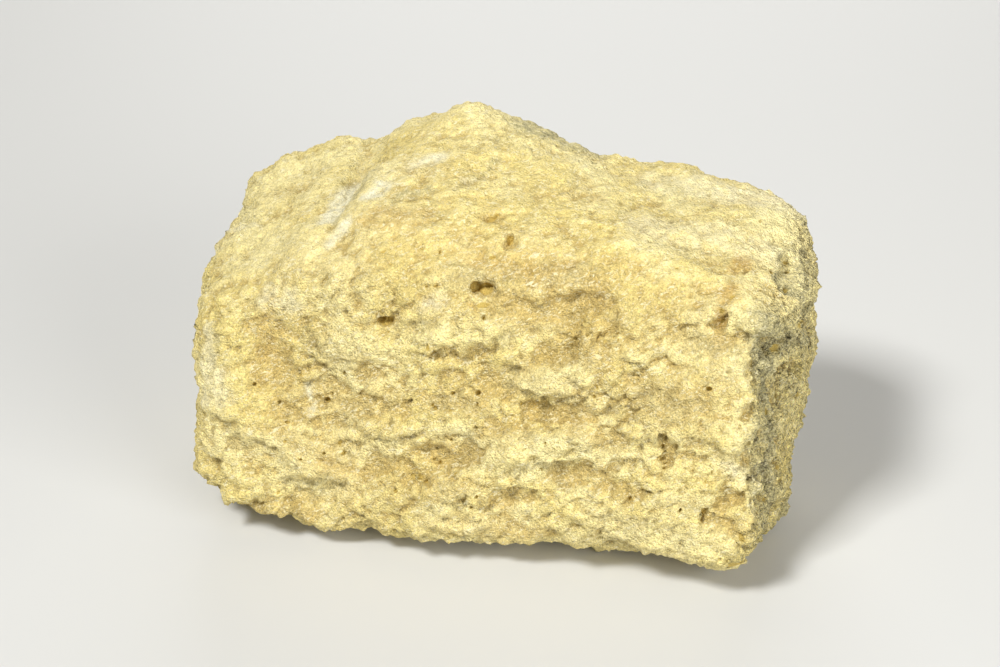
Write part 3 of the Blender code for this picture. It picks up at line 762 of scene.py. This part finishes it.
PATCHES = {
    "chalk": (
        (352, 194, 330, 218, 2.0, 1.0), (372, 196, 384, 186, 1.3, 1.0), (346, 222, 332, 242, 1.0, 0.8),
        (418, 162, 440, 157, 1.3, 0.7), (268, 296, 290, 300, 2.0, 0.4), (208, 330, 204, 400, 1.2, 0.45),
        (216, 380, 222, 396, 1.4, 0.5), (308, 386, 313, 412, 0.5, 0.9), (425, 305, 440, 302, 1.0, 0.5),
        (650, 182, 700, 190, 2.4, 0.3), (700, 186, 785, 205, 3.4, 0.45),
        (650, 225, 760, 250, 3.4, 0.30), (220, 226, 255, 224, 0.8, 0.5), (730, 468, 738, 474, 1.2, 0.5),
    ),
    # Painted highlight on the lit crests, bulges and upper slopes.
    "painted_highlight": (
        (520, 382, 580, 374, 2.0, 0.55), (500, 448, 580, 446, 2.2, 0.45),
        (690, 350, 745, 370, 2.4, 0.40), (610, 528, 720, 545, 2.2, 0.50),
        (430, 512, 480, 526, 2.0, 0.45), (236, 440, 300, 460, 2.2, 0.40),
        (225, 210, 290, 175, 3.6, 0.75), (290, 172, 350, 160, 3.0, 0.65),
        (354, 160, 384, 176, 2.6, 0.60), (246, 214, 262, 262, 2.6, 0.80),
        (584, 164, 606, 176, 2.2, 0.80), (478, 116, 506, 124, 2.4, 0.60),
        (616, 458, 640, 456, 1.6, 0.50), (716, 462, 736, 452, 1.8, 0.50),
        (296, 484, 340, 486, 2.0, 0.60), (520, 474, 556, 458, 1.6, 0.70),
        (754, 352, 758, 366, 1.0, 0.70), (770, 366, 790, 394, 1.6, 0.45),
        (752, 452, 758, 464, 1.0, 0.70), (458, 428, 470, 436, 1.4, 0.60),
        (334, 306, 342, 364, 2.0, 0.50), (650, 188, 672, 198, 2.0, 0.60),
        (776, 256, 792, 270, 2.0, 0.70), (250, 230, 310, 250, 3.6, 0.60),
        (240, 250, 285, 262, 2.6, 0.45), (345, 455, 390, 440, 2.0, 0.30),
        (640, 180, 720, 195, 2.6, 0.40), (776, 222, 802, 285, 4.0, 0.9),
        (405, 330, 450, 330, 2.2, 0.35), (470, 336, 506, 330, 1.8, 0.35),
    ),
    # Ash patches: partly real grey seams, partly painted shade on the right end's shaded strip, under its
    # brow, beyond the peak and in a bay.
    "ash": (
        (395, 200, 470, 182, 0.7, 0.6), (470, 182, 500, 162, 0.7, 0.6), (378, 168, 352, 200, 1.0, 0.6),
        (350, 200, 336, 236, 0.8, 0.6), (690, 205, 770, 222, 1.2, 0.25),
        (640, 245, 740, 258, 1.0, 0.25), (759, 494, 757, 550, 0.6, 0.9), (757, 425, 756, 440, 0.9, 0.8),
        (757, 470, 755, 490, 1.0, 1.0), (786, 505, 789, 470, 1.3, 0.6), (772, 334, 806, 340, 2.2, 0.8),
        (780, 284, 800, 300, 1.4, 0.8), (788, 500, 782, 516, 1.4, 0.9), (438, 402, 470, 402, 1.4, 0.40),
        (524, 124, 588, 150, 2.8, 0.9), (622, 216, 646, 226, 1.0, 0.35), (764, 318, 764, 400, 1.9, 1.0),
        (764, 400, 764, 480, 1.7, 1.0), (768, 480, 764, 530, 1.6, 0.8), (766, 344, 804, 308, 1.8, 0.9),
        (640, 400, 690, 408, 2.0, 0.30), (312, 340, 340, 372, 2.0, 0.3), (217, 336, 213, 366, 0.8, 0.5),
        (573, 186, 588, 192, 0.8, 0.4),
    ),
    "rust": (
        (736, 270, 743, 262, 1.2, 0.95), (726, 298, 735, 288, 1.2, 0.85),
        (720, 308, 721, 326, 0.9, 1.0), (718, 344, 712, 368, 1.2, 0.45),
        (372, 215, 415, 220, 2.2, 0.35), (480, 268, 590, 285, 3.4, 0.30),
        (575, 276, 600, 296, 1.6, 0.40), (555, 384, 590, 390, 1.4, 0.30),
        (270, 320, 262, 370, 1.8, 0.35), (330, 460, 350, 490, 1.8, 0.25),
    ),
    # Tan patches: partly real pinkish weathering, partly painted shade under ledges and brows, in bays and
    # along the lower edge.
    "tan": (
        (755, 476, 722, 508, 0.9, 1.0), (520, 402, 560, 412, 1.1, 0.8), (560, 412, 596, 410, 1.1, 0.8),
        (372, 215, 420, 218, 2.2, 0.7), (480, 262, 600, 285, 3.4, 0.55), (410, 170, 425, 176, 1.2, 0.6),
        (736, 268, 744, 266, 1.4, 0.9), (728, 292, 736, 296, 1.2, 0.7), (712, 340, 728, 380, 1.6, 0.45),
        (272, 330, 285, 420, 2.6, 0.75), (300, 320, 330, 350, 3.0, 0.5), (440, 350, 480, 348, 1.2, 0.6),
        (590, 335, 600, 355, 1.8, 0.7), (500, 300, 610, 304, 1.6, 0.6), (690, 335, 725, 340, 1.8, 0.5),
        (600, 300, 700, 300, 3.4, 0.45), (370, 240, 590, 280, 7.0, 0.38),
        (330, 430, 350, 520, 2.4, 0.40), (520, 290, 600, 300, 2.4, 0.45),
        (420, 300, 480, 310, 2.4, 0.45), (345, 300, 375, 325, 2.4, 0.4), (560, 395, 590, 402, 2.0, 0.4),
        (350, 455, 400, 462, 2.4, 0.35), (500, 230, 560, 250, 2.6, 0.45),
        (505, 264, 560, 278, 2.4, 0.90), (512, 308, 568, 312, 2.2, 1.0), (686, 338, 728, 342, 1.9, 0.9),
        (590, 340, 600, 358, 1.8, 0.8), (490, 384, 510, 392, 1.6, 0.6), (496, 424, 530, 432, 1.8, 0.7),
        (650, 388, 672, 408, 2.4, 0.8), (585, 292, 604, 298, 1.4, 0.70),
        (510, 372, 572, 338, 1.6, 0.65), (640, 398, 694, 404, 3.2, 0.95),
        (620, 336, 664, 336, 2.2, 0.55), (434, 398, 480, 402, 2.2, 0.80),
        (425, 448, 466, 454, 2.6, 0.75), (400, 502, 450, 492, 1.8, 0.60),
        (330, 462, 352, 466, 1.6, 0.50), (455, 526, 512, 528, 1.6, 0.90),
        (502, 310, 574, 312, 2.8, 1.20), (296, 258, 318, 270, 2.0, 0.70),
        (394, 188, 412, 198, 1.6, 0.60), (456, 236, 476, 244, 1.8, 0.60),
        (256, 504, 312, 515, 1.4, 1.10), (518, 530, 545, 533, 1.4, 0.90),
        (582, 332, 602, 350, 2.0, 0.95), (566, 330, 614, 320, 2.0, 0.90),
        (512, 374, 584, 340, 1.5, 0.80), (584, 360, 600, 368, 1.6, 0.70),
        (548, 386, 580, 392, 1.4, 0.45), (486, 380, 506, 392, 1.8, 0.95),
        (362, 402, 382, 412, 1.6, 0.80), (296, 404, 312, 414, 1.4, 0.90),
        (334, 450, 346, 462, 1.8, 0.80), (424, 450, 444, 462, 1.8, 0.70),
        (396, 474, 470, 484, 1.4, 0.70), (716, 525, 736, 530, 1.8, 0.80),
        (652, 306, 672, 314, 1.6, 0.70), (714, 345, 726, 386, 1.8, 0.55),
        (480, 384, 506, 388, 1.8, 0.80), (616, 262, 640, 268, 2.2, 0.60),
        (488, 428, 506, 436, 1.8, 0.80), (262, 262, 290, 270, 2.2, 0.60),
        (452, 286, 472, 290, 1.6, 0.60), (330, 236, 346, 250, 1.8, 0.50),
        (266, 428, 282, 440, 1.6, 0.60), (680, 384, 700, 392, 1.8, 0.60),
        (336, 408, 396, 402, 2.2, 0.75), (440, 352, 480, 350, 1.6, 0.70),
        (298, 372, 316, 412, 2.0, 0.80), (262, 392, 282, 386, 1.8, 0.50),
        (296, 450, 318, 462, 2.2, 0.90), (452, 380, 475, 386, 1.8, 0.60),
        (560, 300, 570, 330, 2.0, 0.60), (770, 290, 800, 300, 1.6, 0.50),
        (578, 430, 612, 442, 2.0, 0.95), (562, 478, 602, 468, 1.2, 0.65),
        (768, 196, 786, 204, 1.2, 0.50), (600, 482, 634, 496, 1.6, 0.65),
        (490, 502, 510, 500, 1.8, 0.75), (366, 476, 420, 482, 1.4, 0.60),
        (458, 384, 474, 382, 1.6, 0.60), (360, 362, 372, 372, 1.8, 0.50),
    ),
}

PATCH_WARP = (1.8 * MM, 0.8 * MM)
PATCH_RIM = 1.3              # how far out a patch reaches, in shares of its half width


def paint_patches(mesh, view):
    """Marks where the coloured patches lie."""
    surface = surface_of(mesh)
    bent = warped(points_of(mesh), *PATCH_WARP)
    for name, patches in PATCHES.items():
        share = np.zeros(len(bent))
        for patch in (Patch(*row) for row in patches):
            start = np.array(view.onto(surface, patch.across, patch.down)[0])
            end = np.array(view.onto(surface, patch.to_across, patch.to_down)[0])
            along = end - start
            run = np.clip(((bent - start) @ along) / (along @ along), 0.0, 1.0)
            away = np.linalg.norm(bent - start - run[:, None] * along, axis=1)
            share = np.maximum(share, patch.strength * eased(PATCH_RIM - away / (patch.wide * MM)))
        store_share(mesh, name, share)


# ---------------------------------------------------------------- the finish

SPLINTER_SLANT = math.radians(28)
NEAR_ROUNDS, BROAD_ROUNDS = 14, 110     # how far round a point its surroundings are smoothed


def mark_raised(mesh):
    """Marks how far, in mm, each point stands above its near and its wider surroundings."""
    places = points_of(mesh)
    normals = normals_of(mesh)
    ends = np.zeros(len(mesh.edges) * 2, np.int32)
    mesh.edges.foreach_get("vertices", ends)
    first, second = ends.reshape(-1, 2).T
    count = np.bincount(ends, minlength=len(places))[:, None]
    smooth = places.copy()
    for step in range(1, BROAD_ROUNDS + 1):
        total = np.zeros_like(smooth)
        for axis in range(3):
            total[:, axis] += np.bincount(first, smooth[second, axis], len(places))
            total[:, axis] += np.bincount(second, smooth[first, axis], len(places))
        smooth = (smooth + total / count) / 2
        if step == NEAR_ROUNDS:
            store_share(mesh, "raised", ((places - smooth) * normals).sum(1) / MM)
    store_share(mesh, "broad", ((places - smooth) * normals).sum(1) / MM)


END_FROM, END_WIDTH = 30.5 * MM, 3.0 * MM     # where the coarse right end begins
END_SHARE = 0.45             # how coarse it is there on the faces that don't look to the right
LEVEL_FROM, END_LEAN_FROM, LEAN_WIDTH = 0.60, 0.55, 0.3
CALM_LOSS, COARSE_GAIN = 0.36, 1.1


def mark_coarse(mesh):
    """Marks how coarse the broken surface is: calm where it lies level, coarse on the right end."""
    normals = normals_of(mesh)
    calm = eased((normals[:, 2] - LEVEL_FROM) / LEAN_WIDTH)
    end = np.maximum(eased((normals[:, 0] - END_LEAN_FROM) / LEAN_WIDTH),
                     END_SHARE * eased((points_of(mesh)[:, 0] - END_FROM) / END_WIDTH))
    store_share(mesh, "coarse", 1.0 - CALM_LOSS * calm * (1.0 - end) + COARSE_GAIN * end)


# The noises of the finish: size in mm, detail, roughness, and a number that moves each to its own place.
NOISES = {
    "straw to cream": (9, 5, 0.65, 0.0),
    "broken": (1.6, 4, 0.7, 23),
    "tan": (6, 6, 0.68, 31),
    "ash": (8, 6, 0.68, 57),
    "chalk": (3, 6, 0.7, 83),
    "chalk edge": (1.1, 4, 0.7, 91),
    "grain": (0.22, 3, 0.75, 11),
    "crumb": (0.7, 3, 0.7, 19),
    "mottle": (1.1, 4, 0.7, 37),
    "fine mottle": (0.45, 3, 0.7, 41),
    "bump": (0.9, 5, 0.72, 29),
}

# How a noise or a mark tells in the finish: where it begins and ends, and what it is carried to there.
TELLS = {
    "straw to cream": (0.38, 0.62, 0.0, 1.0),
    # hollow and bay are painted shade: tan laid into the near and the broad hollows
    "hollow": (-0.16, 0.0, 0.45, 0.0),
    "bay": (-0.6, 0.0, 0.50, 0.0),
    "tan": (0.50, 0.68, 0.0, 0.55),
    # tan patches: partly real tan, partly painted shade
    "tan mark": (0.3, 0.7, 0.4, 1.2),
    "rust mark": (0.3, 0.7, 0.5, 1.2),
    # painted highlight on the lit crests
    "pale mark": (0.25, 0.6, 0.5, 1.1),
    "ash": (0.54, 0.70, 0.0, 0.40),
    # ash patches: partly real seams, partly painted shade
    "ash mark": (0.3, 0.7, 1.2, 0.4),
    "chalk": (0.62, 0.72, 0.0, 0.45),
    "chalk edge": (0.3, 0.6, 0.2, 1.2),
    "grain": (0.3, 0.7, -0.28, 0.24),
    "crumb": (0.3, 0.7, -0.08, 0.07),
    # raised: painted shade in the near hollows and painted light on the near crests
    "raised": (-0.12, 0.12, -0.06, 0.05),
    "end": (1.1, 2.0, 0.0, 1.0),
    "mottle": (0.36, 0.64, -0.20, 0.18),
    "fine mottle": (0.36, 0.64, -0.20, 0.20),
    # sparkle: painted glints on single grains
    "sparkle": (0.88, 0.96, 0.0, 0.35),
    "wisp": (0.54, 0.66, 0.0, 1.0),
    "wisp break": (0.35, 0.65, 0.2, 0.85),
    # speck: dark specks for tiny pits, in the painted pore shade
    "speck": (0.95, 0.97, 0.0, 1.0),
    "speck edge": (0.25, 0.5, 0.75, 0.0),
    # pore: painted shade inside the pores
    "pore": (0.35, 0.9, 0.0, 1.0),
}

MOST_TAN = 0.85
FULL_LIGHT = 0.99
LIGHT_LEAST, LIGHT_BY_COARSE = 0.3, 0.7        # how strongly the light and dark of the grain tell
LARGE_LIGHT, SMALL_LIGHT = 0.10, 0.20
LARGE_BUMP, SMALL_BUMP, ROUGH_BUMP, CRUMB_BUMP, GRAIN_BUMP = 0.12, 0.10, 0.42, 0.17, 0.18
CRUMB_IN_GRAINS = 2.2
ORE_ROUGHNESS, ORE_SPECULAR = 0.8, 0.3

# The splinters: the size in mm and the shift of the large and the small ones, their stretch along,
# into and up the block, how they sway, in shares of their size, how they slope and how they are domed.
LARGE_SPLINTERS, SMALL_SPLINTERS = (1.3, 5), (0.55, 13)
SPLINTER_STRETCH = (1.25, 1.1, 0.85)
SPLINTER_SWAY_SIZE, SPLINTER_SWAY = 1.25, 1.3
SPLINTER_SLOPE, SPLINTER_DOME = 1.8, -0.45

WISP_SIZE, WISP_SQUEEZE = 0.42 * MM, (0.45, 0.8, 1.3)
WISP_ROUGH, WISP_CURL = 0.6, 0.8


def ore_finish(settings):
    """Grainy, patchy sulfur ore with brown pores; the brown of the pores, the tan of the hollows and part
    of the tan and ash patches are painted shade, and the crests carry painted highlight.
    """
    finish = bpy.data.materials.new("sulfur_ore_finish")
    finish.use_nodes = True
    tree = finish.node_tree
    kit = NodeKit(tree)
    shader = tree.nodes["Principled BSDF"]
    place = kit.add("ShaderNodeTexCoord").outputs["Object"]

    def moved(seed):
        return kit.vector("ADD", place, (seed * MM, seed * 2 * MM, seed * 3 * MM))

    def noise(name):
        size, detail, rough, seed = NOISES[name]
        return kit.noise(moved(seed), size * MM, detail, rough)

    def tells(value, name):
        return kit.span(value, *TELLS[name])

    def mixed(share, first, second, blend="MIX"):
        node = tree.nodes.new("ShaderNodeMix")
        node.data_type = "RGBA"
        node.blend_type = blend
        kit.feed(node, 0, share)
        kit.feed(node, 6, first)
        kit.feed(node, 7, second)
        return node.outputs[2]

    def solid(colour):
        return (*colour, 1.0)

    def marked(name):
        return kit.add("ShaderNodeAttribute", {"attribute_name": name}).outputs["Fac"]

    def shards(size_mm, seed):
        """Height and chance of slanting splinters of about this size."""
        size = size_mm * MM
        bent = kit.swayed(moved(seed), place, size * SPLINTER_SWAY_SIZE, size * SPLINTER_SWAY, 2.0)
        turned = kit.slanted(bent, SPLINTER_SLANT)
        shrunk = kit.vector("DIVIDE", turned, tuple(size * part for part in SPLINTER_STRETCH))
        cells = kit.add("ShaderNodeTexVoronoi", {"feature": "F1"}, Vector=shrunk, Scale=1.0)
        chance = kit.vector("SUBTRACT", cells.outputs["Color"], HALF)
        offset = kit.vector("SUBTRACT", shrunk, cells.outputs["Position"])
        slope = kit.vector("DOT_PRODUCT", offset, kit.scaled(chance, SPLINTER_SLOPE), out="Value")
        domed = kit.times(cells.outputs["Distance"], SPLINTER_DOME)
        return kit.plus(slope, domed), kit.vector("DOT_PRODUCT", chance, (1.0, 0.0, 0.0), out="Value")

    # the tones, from the general yellow to the crusts that lie on it, with painted shade in tan and ash
    # and painted highlight on the lit crests
    raised = marked("raised")
    broken = noise("broken")
    colour = mixed(tells(noise("straw to cream"), "straw to cream"), solid(settings.straw),
                   solid(settings.cream))
    # tan patches, partly real tan and partly painted shade
    tan_and_shade_mark = kit.times(marked("tan"), tells(broken, "tan mark"))
    # painted shade: tan laid into the near and the broad hollows
    low = kit.plus(tells(raised, "hollow"), tells(marked("broad"), "bay"))
    tan_and_painted_shade_share = kit.plus(kit.math("MAXIMUM", tells(noise("tan"), "tan"), tan_and_shade_mark), low)
    colour = mixed(kit.math("MINIMUM", tan_and_painted_shade_share, MOST_TAN), colour, solid(settings.tan))
    rust_mark = kit.times(marked("rust"), tells(broken, "rust mark"), clamp=True)
    colour = mixed(rust_mark, colour, solid(settings.rust))
    # painted highlight on the lit crests, bulges and upper slopes
    colour = mixed(kit.times(marked("painted_highlight"), tells(broken, "pale mark")), colour, solid(settings.painted_highlight))
    # ash: real seams and painted shade in shaded places
    ash_and_shade_mark = kit.times(marked("ash"), tells(broken, "ash mark"))
    ash_and_shade_share = kit.math("MAXIMUM", tells(noise("ash"), "ash"), ash_and_shade_mark, clamp=True)
    colour = mixed(ash_and_shade_share, colour, solid(settings.ash))
    chalk_mark = kit.times(marked("chalk"), tells(noise("chalk edge"), "chalk edge"))
    chalk_share = kit.math("MAXIMUM", tells(noise("chalk"), "chalk"), chalk_mark, clamp=True)
    colour = mixed(chalk_share, colour, solid(settings.chalk))

    # light and dark by splinter, grain and crumb, more of it where the rock is coarse, with painted shade
    # in the near hollows and painted light on the near crests
    large, large_chance = shards(*LARGE_SPLINTERS)
    small, small_chance = shards(*SMALL_SPLINTERS)
    contrast = kit.plus(LIGHT_LEAST, kit.times(marked("coarse"), LIGHT_BY_COARSE))
    light = kit.plus(kit.times(large_chance, LARGE_LIGHT), kit.times(small_chance, SMALL_LIGHT))
    light = kit.plus(light, tells(noise("grain"), "grain"))
    light = kit.plus(light, tells(noise("crumb"), "crumb"))
    # painted shade in the near hollows, painted light on the near crests
    light = kit.plus(light, tells(raised, "raised"))
    mottle = kit.plus(tells(noise("mottle"), "mottle"), tells(noise("fine mottle"), "fine mottle"))
    light = kit.plus(kit.times(light, contrast), kit.times(mottle, tells(marked("coarse"), "end")))
    shade = kit.plus(FULL_LIGHT, light)
    grey = kit.add("ShaderNodeCombineColor", Red=shade, Green=shade, Blue=shade).outputs[0]
    colour = mixed(1.0, colour, grey, "MULTIPLY")

    # painted glints on single grains, light-coloured wisps in the same colour, dark specks for tiny pits
    # and painted shade inside the pores
    grains = kit.add("ShaderNodeTexVoronoi", {"feature": "F1"}, Vector=place,
                     Scale=1 / settings.grain_size, Randomness=1.0)
    chance = kit.add("ShaderNodeSeparateColor", Color=grains.outputs["Color"])
    # painted glints on single grains
    colour = mixed(tells(chance.outputs[1], "sparkle"), colour, solid(settings.sparkle))
    squeezed = kit.vector("MULTIPLY", kit.slanted(place, SPLINTER_SLANT), WISP_SQUEEZE)
    wisps = kit.noise(squeezed, WISP_SIZE, 3.0, WISP_ROUGH, distortion=WISP_CURL)
    wisp = kit.times(tells(wisps, "wisp"), tells(broken, "wisp break"))
    colour = mixed(wisp, colour, solid(settings.sparkle))
    # dark specks for tiny pits, in the painted pore shade
    speck = kit.times(tells(chance.outputs[2], "speck"), tells(grains.outputs["Distance"], "speck edge"))
    colour = mixed(speck, colour, solid(settings.pore))
    # painted shade inside the pores
    colour = mixed(tells(marked("pore"), "pore"), colour, solid(settings.pore))
    kit.feed(shader, "Base Color", colour)
    shader.inputs["Roughness"].default_value = ORE_ROUGHNESS
    shader.inputs["Specular IOR Level"].default_value = ORE_SPECULAR

    crumbs = kit.add("ShaderNodeTexVoronoi", {"feature": "F1"}, Vector=place,
                     Scale=1 / (CRUMB_IN_GRAINS * settings.grain_size), Randomness=1.0).outputs["Distance"]
    height = kit.plus(kit.times(large, LARGE_BUMP), kit.times(small, SMALL_BUMP))
    height = kit.plus(height, kit.times(noise("bump"), ROUGH_BUMP))
    height = kit.math("SUBTRACT", height, kit.times(crumbs, CRUMB_BUMP))
    height = kit.math("SUBTRACT", height, kit.times(grains.outputs["Distance"], GRAIN_BUMP))
    bumps = kit.add("ShaderNodeBump", Strength=1.0, Distance=MM,
                    Height=kit.times(height, marked("coarse")))
    kit.feed(shader, "Normal", bumps.outputs[0])
    return finish


class SULFUR_OT_block(bpy.types.Operator):
    """Makes the block of ore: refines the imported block, breaks its surface and gives it its finish"""
    bl_idname = "sulfur.make_block"
    bl_label = "Make the block"

    def execute(self, context):
        settings = context.scene.sulfur_block
        view = View(context.scene.sulfur_stage)
        block = refined_block(settings.cell)
        mark_coarse(block.data)
        ledges = seen_ledges(block.data, view, LEDGES)
        ledges += hidden_ledges(block.data, view, settings.hidden_ledges, settings.seed)
        carve_ledges(block.data, ledges)
        break_surface(block, settings, ore_finish(settings))
        seen = pore_frames(block.data, view, SEEN_PORES)
        strewn = strewn_pores(hidden_faces(block.data, view), settings.hidden_pores, settings.seed,
                              *HIDDEN_PORE)
        strewn += strewn_pores(end_faces(block.data, view), settings.end_pores, settings.seed, *END_PIT)
        mark_raised(block.data)
        refine_pores(block.data, strewn, 1)
        refine_pores(block.data, [found for found in seen if found[0].deep < FINE_DEPTH], 1)
        refine_pores(block.data, [found for found in seen if found[0].deep >= FINE_DEPTH],
                     FINE_CUTS)
        paint_patches(block.data, view)
        open_pores(block.data, seen + strewn)
        block.data.shade_smooth()
        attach(block, "root")
        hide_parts(BLOCK_NODE)
        print("block triangles", sum(len(face.vertices) - 2 for face in block.data.polygons))
        return {"FINISHED"}


# ---------------------------------------------------------------- the stage

# The soft lights: where each stands and how wide it is, in metres.
KEY_LIGHT = ((-0.28, -0.48, 0.76), 0.20)
FILL_LIGHT = ((0.34, -0.24, 0.16), 0.30)
BACK_LIGHT = ((-0.10, 0.60, 0.14), 0.40)
STUDIO_COLOUR, STUDIO_STRENGTH = (1.0, 0.94, 0.82, 1), 0.13
FLOOR_SIZE, FLOOR_ROUGHNESS = 1.5, 0.6
CLIP_NEAR, CLIP_FAR = 0.005, 10


def soft_light(name, place, size, power):
    """A square soft light that looks at the middle of the view."""
    light = bpy.data.lights.new(name, "AREA")
    light.size = size
    light.energy = power
    lamp = new_object(name, light)
    lamp.location = place
    lamp.rotation_mode = "QUATERNION"
    lamp.rotation_quaternion = (VIEW_MIDDLE - Vector(place)).to_track_quat("-Z", "Y")
    return lamp


class SULFUR_OT_stage(bpy.types.Operator):
    """Sets up the floor, the lights and the camera"""
    bl_idname = "sulfur.set_stage"
    bl_label = "Set the stage"

    def execute(self, context):
        settings = context.scene.sulfur_stage
        view = View(settings)
        mesh = bmesh.new()
        bmesh.ops.create_grid(mesh, x_segments=1, y_segments=1, size=FLOOR_SIZE)
        data = bpy.data.meshes.new("floor")
        mesh.to_mesh(data)
        mesh.free()
        floor = new_object("floor", data)
        paint = bpy.data.materials.new("floor_paint")
        paint.use_nodes = True
        shader = paint.node_tree.nodes["Principled BSDF"]
        shader.inputs["Base Color"].default_value = (*settings.floor, 1)
        shader.inputs["Roughness"].default_value = FLOOR_ROUGHNESS
        data.materials.append(paint)
        soft_light("key_light", *KEY_LIGHT, settings.key_power)
        soft_light("fill_light", *FILL_LIGHT, settings.fill_power)
        soft_light("back_light", *BACK_LIGHT, settings.back_power)
        world = bpy.data.worlds.new("studio")
        world.use_nodes = True
        background = world.node_tree.nodes["Background"]
        background.inputs["Color"].default_value = STUDIO_COLOUR
        background.inputs["Strength"].default_value = STUDIO_STRENGTH
        context.scene.world = world
        context.scene.view_settings.view_transform = "Standard"
        camera = new_object("camera", bpy.data.cameras.new("camera"))
        camera.data.lens = settings.lens
        camera.data.clip_start, camera.data.clip_end = CLIP_NEAR, CLIP_FAR
        camera.data.sensor_width = SENSOR
        camera.location = view.place
        camera.rotation_mode = "QUATERNION"
        camera.rotation_quaternion = (-view.back).to_track_quat("-Z", "Y")
        context.scene.camera = camera
        return {"FINISHED"}


class SULFUR_PT_panel(bpy.types.Panel):
    """Lists the specimen's operators and settings"""
    bl_label = "Native sulfur"
    bl_space_type = "VIEW_3D"
    bl_region_type = "UI"
    bl_category = "Sulfur"

    def draw(self, context):
        for operator, settings in ((SULFUR_OT_block, context.scene.sulfur_block),
                                   (SULFUR_OT_stage, context.scene.sulfur_stage)):
            box = self.layout.box()
            box.operator(operator.bl_idname)
            for name in settings.__annotations__:
                box.prop(settings, name)


CLASSES = (SulfurBlockSettings, SulfurStageSettings, SULFUR_OT_block, SULFUR_OT_stage, SULFUR_PT_panel)


def register():
    for cls in CLASSES:
        bpy.utils.register_class(cls)
    bpy.types.Scene.sulfur_block = PointerProperty(type=SulfurBlockSettings)
    bpy.types.Scene.sulfur_stage = PointerProperty(type=SulfurStageSettings)


def unregister():
    del bpy.types.Scene.sulfur_stage
    del bpy.types.Scene.sulfur_block
    for cls in reversed(CLASSES):
        bpy.utils.unregister_class(cls)


def main():
    register()
    bpy.ops.sulfur.make_block()
    bpy.ops.sulfur.set_stage()


if __name__ == "__main__":
    main()
